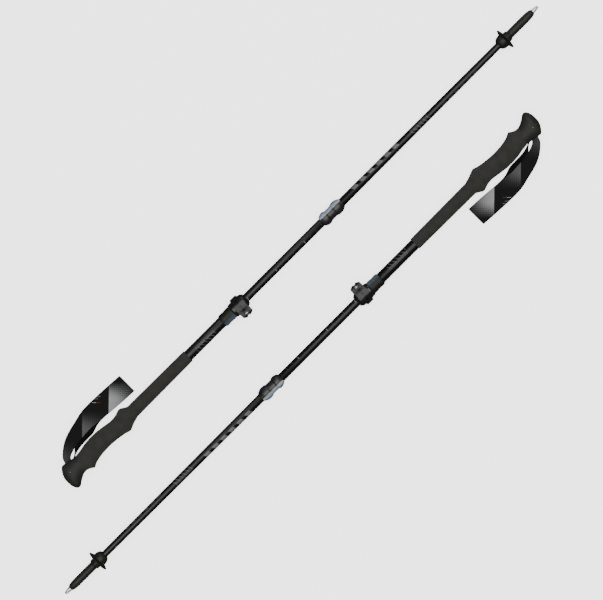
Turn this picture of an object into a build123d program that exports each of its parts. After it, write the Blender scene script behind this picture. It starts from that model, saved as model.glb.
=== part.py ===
from build123d import *

import os
from math import cos, pi, radians, sin

# A pair of folding trekking poles, lying side by side with their grips at opposite ends.
# Each pole is built in its own frame: X runs from the tip end to the top of the grip,
# +Y is the finger side, -Y the strap side, and +Z looks up from the floor.

# Overall sizes, in mm
POLE_LENGTH = 1050.0
POLE_SPACING = 127.5
STAGGER = 126.0  # how far each tip reaches past the other pole's grip
AXIS_HEIGHT = 18.5

# Tubes
UPPER_R = 9.0
MID_R = 7.0
LOWER_R = 7.0
LOWER_END_R = 5.7
WALL = 0.9
RUNNING = 0.06  # radial clearance of a running fit
BONDED = 0.05  # glue line between pieces that never move
FREE = 0.4  # clearance between pieces that only pass each other

# Stations, measured down from the top of the grip
CORE_TOP = 28.0
TUBE_TOP = 38.0
FOAM_END = 149.5
EXTENSION_END = 274.0
LOCK_TOP = 350.0
CLAMP_TOP = 377.0
LOCK_END = 402.5
COLLAR_TOP = 571.0
RING_TOP = 585.5
SEAM = 595.75
LOWER_COLLAR_END = 615.0
MID_OVERLAP = 200.0  # mid tube held inside the upper tube at rest

# Stations, measured up from the tip end
POINT_LENGTH = 11.5
HOLDER_SHOULDER = 19.0
NUT_START, NUT_END = 63.0, 70.5
DISC_START, DISC_END = 71.0, 74.5
HUB_END = 87.0
HOLDER_END = 85.0

# Grip
HEAD_SIDE = 18.0
WEB_HALF = 8.0
PIN_R = 2.0
PIN_DROP = 15.6
PIN_BACK = 1.5
EYE_R = 5.0
SWING = 50.0  # degrees that the wrist strap swings out

# Wrist strap
STRAP_OUT = 58.0
STRAP_IN = 21.0
STRAP_END = 173.0
STRAP_THICK = 1.8

# Lever lock
SLEEVE_R = UPPER_R + 2.0
CLAMP_R = UPPER_R + 3.4
LEVER_LENGTH = 20.0
LEVER_IN_R = CLAMP_R + 0.5
LEVER_OUT_R = LEVER_IN_R + 2.7
PIVOT_Y, PIVOT_Z = UPPER_R + 8.0, 6.6
CAM_R = 6.3
BARREL_R = 2.5
SCREW_R = 1.5
EAR_REACH = PIVOT_Y + 5.0
EAR_DEPTH = 9.8
SLIT = 1.2

# Fold joint
BULB_R = MID_R + 4.5
RING_R = MID_R + 2.75
PLUG_LENGTH = 6.0
PLUG_R = MID_R - 1.0
PLUG_TIP_R = PLUG_R - 2.6
CORD_R = 1.2
CORD_RUN = 130.0

# Tip
HOLDER_R = 6.9
CARRIER_R = HOLDER_R - 0.4  # the holder under the nut and basket
POINT_R = 3.5
CARBIDE_R = 2.2
NUT_R = HOLDER_R + 2.1
DISC_R = 18.5
HUB_R = HOLDER_R + 4.1

CLAMP_MID = POLE_LENGTH - (CLAMP_TOP + LOCK_END) / 2 + 2.5


def down(distance):
    """Station at a distance below the top of the grip."""
    return POLE_LENGTH - distance


def turned(points):
    """Solid of revolution about the pole's axis from (station, radius) points."""
    outline = make_face(Polyline(*[(x, r) for x, r in points], close=True))
    return revolve(outline, Axis.X)


def rod(start, end, radius):
    """Round bar along the pole's axis."""
    middle = Pos((start + end) / 2, 0, 0) * Rot(0, 90, 0)
    return middle * Cylinder(radius, end - start)


def tube(start, end, outside, inside):
    return rod(start, end, outside) - rod(start - 1, end + 1, inside)


def bulb(start, end, end_r, swell_r):
    """Barrel-shaped solid that swells between two round ends."""
    step = (end - start) * 0.22
    edge = Spline(
        (start, end_r),
        (start + step, swell_r - 0.35),
        ((start + end) / 2, swell_r),
        (end - step, swell_r - 0.35),
        (end, end_r),
    )
    base = Polyline((end, end_r), (end, 0), (start, 0), (start, end_r))
    return revolve(make_face([edge, base]), Axis.X)


def upright(x, y, low, high, radius):
    """Round bar across the pole, along Z."""
    return Pos(x, y, (low + high) / 2) * Cylinder(radius, high - low)


def grip_body():
    """Head and foam in one smooth form: distance from the top, front, back, half width."""
    sections = [
        (0.2, 13.0, -1.0, 7.0),
        (2.2, 18.6, -5.5, 11.5),
        (6.0, 24.2, -13.0, 15.4),
        (11.0, 25.2, -17.8, HEAD_SIDE - 0.6),
        (17.0, 20.8, -18.2, HEAD_SIDE),
        (24.0, 16.8, -17.2, HEAD_SIDE - 1.0),
        (32.0, 14.8, -15.8, 15.6),
        (40.0, 16.8, -14.6, 14.6),
        (47.0, 19.8, -14.8, 14.6),
        (54.0, 16.8, -16.0, 14.8),
        (64.0, 14.6, -17.6, 15.2),
        (80.0, 13.3, -18.2, 15.4),
        (98.0, 13.8, -16.6, 14.8),
        (116.0, 16.2, -14.0, 13.6),
        (127.0, 18.9, -15.0, 14.2),
        (136.0, 16.2, -17.8, 14.6),
        (143.0, 13.8, -16.2, 13.4),
        (FOAM_END, 12.1, -11.7, 11.8),
    ]
    faces = []
    for distance, front, back, side in sections:
        spot = Plane(origin=(down(distance), (front + back) / 2, 0), x_dir=(0, 1, 0), z_dir=(1, 0, 0))
        faces.append(spot * Ellipse((front - back) / 2, side))
    return loft(faces, ruled=True)


def strap_slot():
    """Fan-shaped slot in the head's back that the strap swings in."""
    pin_x = down(PIN_DROP)
    first, last = radians(204), radians(270 + SWING)
    reach = 45.0
    fan = make_face(
        Polyline(
            (pin_x, -PIN_BACK),
            (pin_x + reach * cos(first), -PIN_BACK + reach * sin(first)),
            (pin_x + reach * cos((first + last) / 2) * 1.2, -PIN_BACK + reach * sin((first + last) / 2) * 1.2),
            (pin_x + reach * cos(last), -PIN_BACK + reach * sin(last)),
            close=True,
        )
    )
    half = WEB_HALF + FREE
    slot = Pos(0, 0, -half) * extrude(fan, 2 * half)
    return slot + upright(pin_x, -PIN_BACK, -half, half, EYE_R + FREE)


def grip_pieces():
    joint = Plane(origin=(down(35), 1.5, 0), z_dir=(25, -8, 0))
    whole = grip_body()
    socket = rod(down(160), down(CORE_TOP), UPPER_R + BONDED)
    pin_x = down(PIN_DROP)
    pin_hole = upright(pin_x, -PIN_BACK, -25, 25, PIN_R + BONDED)
    head = split(whole, bisect_by=joint, keep=Keep.TOP) - socket - strap_slot() - pin_hole
    foam = split(whole, bisect_by=joint, keep=Keep.BOTTOM) - socket
    extension = turned(
        [
            (down(FOAM_END), UPPER_R + BONDED),
            (down(FOAM_END), UPPER_R + 2.2),
            (down(EXTENSION_END - 3), UPPER_R + 1.4),
            (down(EXTENSION_END), UPPER_R + 0.7),
            (down(EXTENSION_END), UPPER_R + BONDED),
        ]
    )
    stem = rod(down(TUBE_TOP + 24), down(TUBE_TOP), UPPER_R - WALL - BONDED)
    core = stem + rod(down(TUBE_TOP), down(CORE_TOP), UPPER_R)
    return {
        "grip_head": head,
        "grip_foam": foam,
        "grip_extension": extension,
        "grip_core": core,
        "strap_pin": upright(pin_x, -PIN_BACK, 0.5 - HEAD_SIDE, HEAD_SIDE - 0.5, PIN_R),
    }


def ribbon(points, thickness):
    """Long strip seen from the side, standing on the given (station, height) points."""
    low = Spline(*points)
    high = Spline(*[(x, z + thickness) for x, z in points])
    ends = [Line(low @ 0, high @ 0), Line(low @ 1, high @ 1)]
    face = Plane.XZ * make_face([low, high] + ends)
    return extrude(face, 30 + STRAP_OUT)


def strap_plan():
    """Outline of the wide band seen from above."""
    outer = Spline(
        (down(19), -13),
        (down(25), -31),
        (down(45), -44.3),
        (down(80), 4 - STRAP_OUT),
        (down(110), -STRAP_OUT),
        (down(STRAP_END), 3 - STRAP_OUT),
    )
    inner = Spline(
        (down(STRAP_END), -STRAP_IN),
        (down(125), -STRAP_IN - 4.2),
        (down(95), -STRAP_IN - 2.2),
        (down(70), -STRAP_IN - 0.2),
        (down(44), -STRAP_IN - 1.0),
        (down(30), -17),
        (down(24), -9),
    )
    ends = [Line(outer @ 1, inner @ 0), Line(inner @ 1, outer @ 0)]
    return make_face([outer, inner] + ends)


def strap():
    """Wrist strap: a loop of two layers, creased at the bottom, round the pin at the top."""
    prism = Pos(0, 0, -AXIS_HEIGHT) * extrude(strap_plan(), 2 * AXIS_HEIGHT)
    front = ribbon(
        [
            (down(16), 3.5),
            (down(40), 4.5),
            (down(75), 5.5),
            (down(110), 3.5),
            (down(145), -3.0),
            (down(STRAP_END), -14.5),
        ],
        STRAP_THICK,
    )
    back = ribbon(
        [
            (down(62), -10.5),
            (down(85), -15.0),
            (down(115), -17.6),
            (down(145), -17.8),
            (down(STRAP_END), -16.2),
        ],
        STRAP_THICK,
    )
    leg_path = Spline((down(19), -9), (down(28), -19.6), (down(45), -18.2), (down(60), -19.6), (down(76), -22.6))
    leg_face = make_face(
        [
            leg_path,
            Pos(0, -STRAP_THICK, 0) * leg_path,
            Line(leg_path @ 0, (leg_path @ 0) - Vector(0, STRAP_THICK, 0)),
            Line(leg_path @ 1, (leg_path @ 1) - Vector(0, STRAP_THICK, 0)),
        ]
    )
    low_leg = -WEB_HALF + 0.2
    leg = Pos(0, 0, low_leg) * extrude(leg_face, 2 * WEB_HALF - 2.0)
    foot = Pos(down(69), -22.4, -10) * Box(15, 2.6, 8)
    pin_x = down(PIN_DROP)
    neck = Pos(pin_x - 4.0, -PIN_BACK - 7.5, 0) * Rot(0, 0, 62) * Box(12, 5, 2 * WEB_HALF - 2)
    eye = upright(pin_x, -PIN_BACK, 0.2 - WEB_HALF, WEB_HALF - 0.2, EYE_R) + neck
    loop = (front + back) & prism
    return loop + leg + foot + eye - upright(pin_x, -PIN_BACK, -20, 20, PIN_R + 0.3)


def lock_body():
    """Clamp housing that joins the upper tube to the mid tube, with two ears and a slit."""
    outer = turned(
        [
            (down(LOCK_END), 0),
            (down(LOCK_END), MID_R + 2.0),
            (down(LOCK_END - 4.0), CLAMP_R - 0.6),
            (down(LOCK_END - 5.5), CLAMP_R),
            (down(CLAMP_TOP - 1.0), CLAMP_R),
            (down(CLAMP_TOP - 3.5), SLEEVE_R),
            (down(LOCK_TOP + 4), SLEEVE_R),
            (down(LOCK_TOP), UPPER_R + 0.9),
            (down(LOCK_TOP), 0),
        ]
    )
    ear_mid = (6 + EAR_REACH) / 2
    ears = Pos(CLAMP_MID, ear_mid, -EAR_DEPTH / 2) * Box(LEVER_LENGTH, EAR_REACH - 6, EAR_DEPTH)
    ears = fillet(ears.edges().filter_by(Axis.Z).sort_by(Axis.Y)[-2:], 3.5)
    cam_room = Pos(CLAMP_MID, PIVOT_Y, PIVOT_Z) * Rot(0, 90, 0)
    body = outer + ears - cam_room * Cylinder(CAM_R + FREE, LEVER_LENGTH + 1)
    body -= rod(down(CLAMP_TOP), down(LOCK_TOP) + 1, UPPER_R + BONDED)
    body -= rod(down(LOCK_END - 4), down(CLAMP_TOP) + 1, liner_outside() + BONDED)
    body -= rod(down(LOCK_END) - 1, down(CLAMP_TOP), MID_R + 0.3)
    slit_z = -EAR_DEPTH / 2
    slit_length = LOCK_END - CLAMP_TOP
    slit = Pos(down((LOCK_END + CLAMP_TOP) / 2), EAR_REACH / 2 + 1, slit_z)
    body -= slit * Box(slit_length + 0.2, EAR_REACH + 2, SLIT)
    body -= upright(CLAMP_MID, PIVOT_Y, -20, 20, SCREW_R + 0.3)
    return body


def liner_outside():
    return MID_R + 1.1


def lever():
    """Cam lever: a round cam on the barrel and an arm that wraps over the housing."""
    section = Plane(origin=(CLAMP_MID - LEVER_LENGTH / 2, 0, 0), x_dir=(0, 1, 0), z_dir=(1, 0, 0))
    start, end = radians(50), radians(186)
    middle = (start + end) / 2
    outside, inside = LEVER_OUT_R, LEVER_IN_R

    def at(radius, angle):
        return (radius * cos(angle), radius * sin(angle))

    arm = make_face(
        [
            ThreePointArc(at(outside, start), at(outside, middle), at(outside, end)),
            ThreePointArc(at(inside, start), at(inside, middle), at(inside, end)),
            Line(at(outside, start), at(inside, start)),
            Line(at(outside, end), at(inside, end)),
        ]
    )
    bridge = make_face(
        Polyline(
            at(outside - 0.2, radians(70)),
            (PIVOT_Y + 1.5, PIVOT_Z + CAM_R - 0.4),
            (PIVOT_Y - 2, PIVOT_Z - CAM_R + 1.5),
            at(inside + 0.6, start),
            close=True,
        )
    )
    bridge -= Circle(inside)
    cam = Pos(PIVOT_Y, PIVOT_Z) * Circle(CAM_R)
    solid = extrude(section * (arm + bridge + cam), LEVER_LENGTH)
    slot = Pos(CLAMP_MID, PIVOT_Y, PIVOT_Z) * Box(6, 2 * CAM_R + 2, 2 * CAM_R + 2)
    tab_cut = Box(6, 12, 8)
    half = LEVER_LENGTH / 2
    for side in (-1, 1):
        solid -= Pos(CLAMP_MID + side * (half + 0.5), -LEVER_OUT_R, 0) * Rot(0, 0, side * 20) * tab_cut
    bore = Pos(CLAMP_MID, PIVOT_Y, PIVOT_Z) * Rot(0, 90, 0) * Cylinder(BARREL_R + RUNNING, LEVER_LENGTH + 2)
    return solid - slot - bore


def lock_pieces():
    pivot = Pos(CLAMP_MID, PIVOT_Y, PIVOT_Z) * Rot(0, 90, 0)
    screw_hole = upright(CLAMP_MID, PIVOT_Y, -20, 30, SCREW_R + RUNNING)
    barrel = pivot * Cylinder(BARREL_R, LEVER_LENGTH - 0.6) - screw_hole
    shank = upright(CLAMP_MID, PIVOT_Y, -EAR_DEPTH - 1, PIVOT_Z + CAM_R - 1.2, SCREW_R)
    head_low, head_high = -EAR_DEPTH - 3.0, -EAR_DEPTH - 0.1
    head = upright(CLAMP_MID, PIVOT_Y, head_low, head_high, 3.4)
    socket = Pos(CLAMP_MID, PIVOT_Y, head_low) * extrude(RegularPolygon(1.5, 6), 1.8)
    return {
        "lock_body": lock_body(),
        "lock_liner": tube(
            down(LOCK_END - 4) + BONDED, down(CLAMP_TOP + 0.5), liner_outside(), MID_R + RUNNING
        ),
        "lever_barrel": barrel,
        "lock_lever": lever(),
        "clamp_screw": shank + head - socket,
    }


def upper_tube():
    return tube(down(CLAMP_TOP - 0.5), down(TUBE_TOP), UPPER_R, UPPER_R - WALL)


def mid_pieces():
    top = down(LOCK_END) + MID_OVERLAP
    bottom = down(RING_TOP) + 1.5
    seam = down(SEAM)
    inside = MID_R - WALL
    guide = turned(
        [
            (top - 12, inside - BONDED),
            (top + BONDED, inside - BONDED),
            (top + BONDED, UPPER_R - WALL - RUNNING),
            (top + 8, UPPER_R - WALL - RUNNING),
            (top + 8, 4.5),
            (top - 12, 4.5),
        ]
    )
    collar = bulb(down(RING_TOP) + 0.1, down(COLLAR_TOP), MID_R + 1.6, BULB_R)
    collar -= rod(bottom, down(COLLAR_TOP) + 1, MID_R + BONDED)
    collar -= rod(down(RING_TOP) - 1, bottom + 1, PLUG_R + BONDED)
    ring = tube(seam, down(RING_TOP), RING_R, PLUG_R + BONDED)
    cord_hole = rod(seam - 20, top, CORD_R + 0.3)
    plug = turned(
        [
            (seam - PLUG_LENGTH, 0),
            (seam - PLUG_LENGTH, PLUG_TIP_R),
            (seam, PLUG_R),
            (bottom - 0.1, PLUG_R),
            (bottom - 0.1, 0),
        ]
    )
    anchor = rod(seam + CORD_RUN, seam + CORD_RUN + 8, inside - BONDED)
    return {
        "mid_guide": guide,
        "mid_tube": tube(bottom, top, MID_R, inside),
        "joint_upper_collar": collar,
        "joint_ring": ring,
        "joint_plug": plug - cord_hole,
        "mid_cord": rod(seam - PLUG_LENGTH + 0.3, seam + CORD_RUN - 0.1, CORD_R),
        "mid_cord_anchor": anchor,
    }


def lower_pieces():
    seam = down(SEAM)
    end = down(LOWER_COLLAR_END)
    tube_top = end + 7.0
    collar = bulb(end, seam - 0.1, LOWER_R + 1.4, BULB_R)
    collar &= rod(end, seam - 0.1, BULB_R + 1)
    collar -= rod(end - 1, tube_top, LOWER_R + BONDED)
    collar -= rod(end, seam, CORD_R + 0.3)
    mouth = PLUG_R + FREE
    floor = PLUG_TIP_R + FREE
    depth = PLUG_LENGTH + FREE
    collar -= turned([(seam, 0), (seam, mouth), (seam - depth, floor), (seam - depth, 0)])
    foot = 50.0
    slope = (LOWER_R - LOWER_END_R) / (tube_top - HOLDER_END)
    foot_r = LOWER_END_R - slope * (HOLDER_END - foot)
    low_tube = turned(
        [
            (foot, foot_r - WALL),
            (foot, foot_r),
            (tube_top - 0.1, LOWER_R),
            (tube_top - 0.1, LOWER_R - WALL),
        ]
    )
    stop = seam - CORD_RUN
    stop_r = LOWER_R - WALL - BONDED - slope * (tube_top - stop + 8)
    return {
        "joint_lower_collar": collar,
        "lower_tube": low_tube,
        "lower_cord": rod(stop + 0.1, seam - depth - 0.3, CORD_R),
        "lower_cord_anchor": rod(stop - 8, stop, stop_r),
    }


def tip_pieces():
    holder = turned(
        [
            (POINT_LENGTH, 0),
            (POINT_LENGTH, POINT_R + 1.2),
            (HOLDER_SHOULDER, HOLDER_R),
            (NUT_START - 0.5, HOLDER_R),
            (NUT_START - 0.5, CARRIER_R),
            (HOLDER_END, CARRIER_R),
            (HOLDER_END, 0),
        ]
    )
    holder -= rod(POINT_LENGTH - 1, POINT_LENGTH + 20, POINT_R + BONDED)
    holder -= rod(49.0, HOLDER_END + 1, LOWER_END_R + BONDED)
    point = turned(
        [
            (2.5, 0),
            (2.5, CARBIDE_R + 0.5),
            (5.0, POINT_R),
            (POINT_LENGTH + 19, POINT_R),
            (POINT_LENGTH + 19, 0),
        ]
    )
    carbide = rod(0.3, 10.0, CARBIDE_R) + turned([(0, 0), (0, CARBIDE_R - 0.5), (0.4, CARBIDE_R), (0.4, 0)])
    bore = rod(NUT_START - 1, HUB_END + 1, CARRIER_R + RUNNING)
    nut = rod(NUT_START, NUT_END, NUT_R)
    for turn in range(12):
        notch = Rot(turn * 30, 0, 0) * Pos((NUT_START + NUT_END) / 2, 0, NUT_R + 0.2)
        nut -= notch * Box(NUT_END - NUT_START + 1, 1.6, 1.8)
    basket = turned(
        [
            (DISC_START, 0),
            (DISC_START, DISC_R - 0.6),
            (DISC_START + 0.6, DISC_R),
            (DISC_START + 1.4, DISC_R),
            (DISC_END, HUB_R + 1.5),
            (DISC_END + 1, HUB_R),
            ((DISC_END + HUB_END) / 2 + 1, HUB_R - 0.8),
            (HUB_END - 1, HUB_R - 2.0),
            (HUB_END, HUB_R - 3.0),
            (HUB_END, 0),
        ]
    )
    return {
        "tip_holder": holder,
        "tip_point": point - rod(2, 10.1, CARBIDE_R + BONDED),
        "carbide_tip": carbide,
        "basket": basket - bore,
        "basket_nut": nut - bore,
    }


def pole():
    """All pieces of one pole, by name."""
    pieces = {"upper_tube": upper_tube(), "wrist_strap": strap()}
    for group in (grip_pieces(), lock_pieces(), mid_pieces(), lower_pieces(), tip_pieces()):
        pieces.update(group)
    return pieces


os.makedirs("parts", exist_ok=True)
right = Pos(-(POLE_LENGTH + STAGGER) / 2, -POLE_SPACING / 2, AXIS_HEIGHT)
for name, piece in pole().items():
    export_step(right * piece, "parts/right_" + name + ".step")
    export_step(Rot(0, 0, 180) * right * piece, "parts/left_" + name + ".step")
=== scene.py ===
"""Looks for a pair of folding trekking poles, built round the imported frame.

Each pole's pieces are made in that pole's own millimetres: X runs from the tip end to the top
of the grip, +Y is the finger side, -Y the strap side, and +Z looks up from the floor.
"""
from math import cos, pi, radians, sin, sqrt, tan

import bmesh
import bpy
from mathutils import Matrix, Vector


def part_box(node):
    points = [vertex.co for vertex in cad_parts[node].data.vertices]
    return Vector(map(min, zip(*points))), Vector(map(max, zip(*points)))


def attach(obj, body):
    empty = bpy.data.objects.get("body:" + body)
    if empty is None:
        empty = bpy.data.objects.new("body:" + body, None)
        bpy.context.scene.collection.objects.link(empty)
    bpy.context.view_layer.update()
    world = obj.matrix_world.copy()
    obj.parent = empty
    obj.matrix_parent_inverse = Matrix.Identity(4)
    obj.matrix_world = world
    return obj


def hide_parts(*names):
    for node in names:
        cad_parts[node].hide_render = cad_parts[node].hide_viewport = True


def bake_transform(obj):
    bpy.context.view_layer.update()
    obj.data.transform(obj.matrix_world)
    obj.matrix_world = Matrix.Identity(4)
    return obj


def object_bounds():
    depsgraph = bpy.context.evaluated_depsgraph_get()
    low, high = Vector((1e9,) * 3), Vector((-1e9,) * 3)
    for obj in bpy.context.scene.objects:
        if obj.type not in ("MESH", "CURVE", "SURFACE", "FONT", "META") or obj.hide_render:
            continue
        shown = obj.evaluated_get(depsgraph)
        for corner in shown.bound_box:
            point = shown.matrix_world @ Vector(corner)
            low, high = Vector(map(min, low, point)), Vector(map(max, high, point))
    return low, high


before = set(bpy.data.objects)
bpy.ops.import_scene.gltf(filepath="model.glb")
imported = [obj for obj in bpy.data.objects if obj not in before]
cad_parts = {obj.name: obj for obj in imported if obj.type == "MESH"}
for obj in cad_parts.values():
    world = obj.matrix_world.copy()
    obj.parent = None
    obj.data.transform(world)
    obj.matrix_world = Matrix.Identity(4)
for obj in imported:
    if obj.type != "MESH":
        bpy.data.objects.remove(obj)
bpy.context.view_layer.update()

MM = 0.001
ROUND = 72  # points round a tube
ROUND_FINE = 96  # points round a larger turned piece
ROUND_RIBBED = 160  # points round the notched nut and the webbed basket


# ---------------- where each pole lies

def pole_matrix(side):
    """Takes a pole's own millimetres to the frame's metres."""
    tip_low, tip_high = (Vector(corner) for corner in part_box(side + "_carbide_tip"))
    axis = (tip_low + tip_high) / 2
    if side == "right":
        return Matrix.Translation((tip_low.x, axis.y, axis.z)) @ Matrix.Scale(MM, 4)
    turned = Matrix.Rotation(pi, 4, "Z") @ Matrix.Scale(MM, 4)
    return Matrix.Translation((tip_high.x, axis.y, axis.z)) @ turned


PLACE = {side: pole_matrix(side) for side in ("right", "left")}


def station(node, end):
    """Local station of a right-hand node's low or high end, in mm."""
    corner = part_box("right_" + node)[1 if end == "high" else 0]
    return (PLACE["right"].inverted() @ Vector(corner)).x


LENGTH = station("grip_head", "high")
UPPER_R = (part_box("right_upper_tube")[1][2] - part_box("right_upper_tube")[0][2]) / 2 / MM
MID_R = (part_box("right_mid_tube")[1][2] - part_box("right_mid_tube")[0][2]) / 2 / MM
FOAM_END = station("grip_foam", "low")
EXTENSION_END = station("grip_extension", "low")
LOCK_LOW, LOCK_HIGH = station("lock_body", "low"), station("lock_body", "high")
LEVER_LOW, LEVER_HIGH = station("lock_lever", "low"), station("lock_lever", "high")
COLLAR_TOP = station("joint_upper_collar", "high")
COLLAR_LOW = station("joint_upper_collar", "low")
SEAM = station("joint_ring", "low")
LOWER_COLLAR_END = station("joint_lower_collar", "low")
SLEEVE_R, HOUSING_R = 11.0, 12.4  # the lock's sleeve and its housing


def down(distance):
    """Station at a distance below the top of the grip."""
    return LENGTH - distance


# ---------------- making pieces

def add_piece(side, name, verts, faces, body, material, replaced, slot, sharp=35.0):
    """A mesh piece of one pole, from points in that pole's own millimetres."""
    mesh = bpy.data.meshes.new(side + "_" + name)
    mesh.from_pydata([tuple(v) for v in verts], [], faces)
    mesh.validate()
    return finish_piece(side, name, mesh, body, material, replaced, sharp)


def finish_piece(side, name, mesh, body, material, replaced, sharp):
    """A piece that rides on one body; edges over the sharp angle stay crisp."""
    face_outward(mesh)
    piece = place_piece(side, name, mesh, material)
    mesh.set_sharp_from_angle(angle=radians(sharp))
    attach(piece, side + "_" + body)
    if replaced:
        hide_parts(*(side + "_" + node for node in replaced))
    return piece


def in_scene(name, data):
    """A new object in the scene for a mesh, light or camera."""
    item = bpy.data.objects.new(name, data)
    bpy.context.scene.collection.objects.link(item)
    return item


def place_piece(side, name, mesh, material):
    """Keeps the pole's own millimetres in 'own', then sets the mesh in the frame as an object."""
    keep_own_place(mesh, Matrix.Identity(4))
    mesh.transform(PLACE[side])
    for polygon in mesh.polygons:
        polygon.use_smooth = True
    piece = in_scene(side + "_" + name, mesh)
    mesh.materials.append(material)
    return piece


def keep_own_place(mesh, to_own):
    """Writes each point's place in the pole's own millimetres to the attribute 'own'."""
    own = mesh.attributes.get("own") or mesh.attributes.new("own", "FLOAT_VECTOR", "POINT")
    own.data.foreach_set("vector", [value for v in mesh.vertices for value in to_own @ v.co])


def face_outward(mesh):
    shape = bmesh.new()
    shape.from_mesh(mesh)
    bmesh.ops.recalc_face_normals(shape, faces=shape.faces)
    shape.to_mesh(mesh)
    shape.free()


def rounded(points, radius, steps=4):
    """Rounds every inner corner of an outline by a small arc-like curve."""
    path = [Vector(p) for p in points]
    result = [path[0]]
    for before, corner, after in zip(path, path[1:], path[2:]):
        reach_in = min(radius, (corner - before).length * 0.45)
        reach_out = min(radius, (after - corner).length * 0.45)
        start = corner + (before - corner).normalized() * reach_in
        end = corner + (after - corner).normalized() * reach_out
        for step in range(steps + 1):
            t = step / steps
            result.append(start.lerp(corner, t).lerp(corner.lerp(end, t), t))
    result.append(path[-1])
    return [(p.x, p.y) for p in result]


def divided(profile, pitch, radial=0):
    """An outline with points added about a pitch apart along it; radial=1 counts its radius too."""
    result = []
    for (x0, r0), (x1, r1) in zip(profile, profile[1:]):
        steps = max(1, int((abs(x1 - x0) + radial * abs(r1 - r0)) / pitch))
        result += [(x0 + (x1 - x0) * i / steps, r0 + (r1 - r0) * i / steps) for i in range(steps)]
    return result + [profile[-1]]


def lathe(profile, count=ROUND, closed=False, shape=None):
    """Turns (station, radius) points about the pole's axis. shape(x, r, angle) may change r."""
    verts = []
    for x, r in profile:
        for turn in range(count):
            angle = 2 * pi * turn / count
            reach = shape(x, r, angle) if shape else r
            verts.append((x, reach * cos(angle), reach * sin(angle)))
    faces = []
    rings = len(profile)
    for ring in range(rings if closed else rings - 1):
        low, high = ring * count, (ring + 1) % rings * count
        for turn in range(count):
            ahead = (turn + 1) % count
            faces.append((low + turn, low + ahead, high + ahead, high + turn))
    if not closed:
        faces.append(tuple(range(count)))
        faces.append(tuple(range((rings - 1) * count, rings * count)))
    return verts, faces


def smooth_curve(points, value):
    """Value of a smooth curve through rising (place, height) points."""
    if value <= points[0][0]:
        return points[0][1]
    if value >= points[-1][0]:
        return points[-1][1]
    last = len(points) - 1
    index = next(i for i in range(last) if value <= points[i + 1][0])
    (x0, y0), (x1, y1) = points[index], points[index + 1]

    def rise(i):
        return (points[i + 1][1] - points[i][1]) / (points[i + 1][0] - points[i][0])

    def slope(i):
        """Steepness at a point, level where the curve turns back."""
        if i == 0 or i == last:
            return rise(min(i, last - 1))
        before, after = rise(i - 1), rise(i)
        return 2 * before * after / (before + after) if before * after > 0 else 0.0

    t = (value - x0) / (x1 - x0)
    span = x1 - x0
    m0, m1 = slope(index) * span, slope(index + 1) * span
    return (
        (2 * t**3 - 3 * t**2 + 1) * y0 + (t**3 - 2 * t**2 + t) * m0
        + (-2 * t**3 + 3 * t**2) * y1 + (t**3 - t**2) * m1
    )


def cut_with(piece_mesh, cutter_mesh):
    """The first mesh with the second cut out of it."""
    body, tool = in_scene("cut_body", piece_mesh), in_scene("cut_tool", cutter_mesh)
    boolean = body.modifiers.new("cut", "BOOLEAN")
    boolean.object = tool
    boolean.operation = "DIFFERENCE"
    boolean.solver = "EXACT"
    bpy.context.view_layer.update()
    graph = bpy.context.evaluated_depsgraph_get()
    result = bpy.data.meshes.new_from_object(body.evaluated_get(graph))
    for item in (body, tool):
        bpy.data.objects.remove(item)
    return result


def cut_all(piece_mesh, cutters):
    """A mesh with each cutter's (points, faces) cut out of it in turn."""
    for cutter in cutters:
        piece_mesh = cut_with(piece_mesh, mesh_of(*cutter))
    return piece_mesh


def upright(turned, x, y):
    """A turned shape stood on its end about an upright line."""
    verts, faces = turned
    return [(x + b, y + c, a) for a, b, c in verts], faces


def mesh_of(verts, faces):
    mesh = bpy.data.meshes.new("shape")
    mesh.from_pydata([tuple(v) for v in verts], [], faces)
    face_outward(mesh)
    return mesh


def between(first, second):
    """Closed solid between two matching outlines."""
    count = len(first)
    faces = [tuple(range(count)), tuple(range(count, 2 * count))]
    faces += [(i, (i + 1) % count, count + (i + 1) % count, count + i) for i in range(count)]
    return first + second, faces


def arc_points(a, b, radius, degrees):
    """Points on a circle about (a, b)."""
    return [(a + radius * cos(radians(turn)), b + radius * sin(radians(turn))) for turn in degrees]


def prism(outline, low, high):
    """Upright prism on an (x, y) outline."""
    return between([(x, y, low) for x, y in outline], [(x, y, high) for x, y in outline])


def round_bar(centre, axis, radius, length, count=24):
    """Closed round bar about a line along X or Z."""
    ends = []
    for along in (-0.5 * length, 0.5 * length):
        ring = []
        for angle in (2 * pi * turn / count for turn in range(count)):
            a, b = radius * cos(angle), radius * sin(angle)
            ring.append(Vector(centre) + Vector((along, a, b) if axis == "X" else (a, b, along)))
        ends.append(ring)
    return between(*ends)


def bevel(piece, width):
    """Softens a piece's hard edges, in millimetres."""
    modifier = piece.modifiers.new("soft_edges", "BEVEL")
    modifier.width = width * MM
    modifier.segments = 2
    modifier.limit_method = "ANGLE"
    modifier.angle_limit = radians(35)
    modifier.harden_normals = False


# ---------------- node helpers

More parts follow.
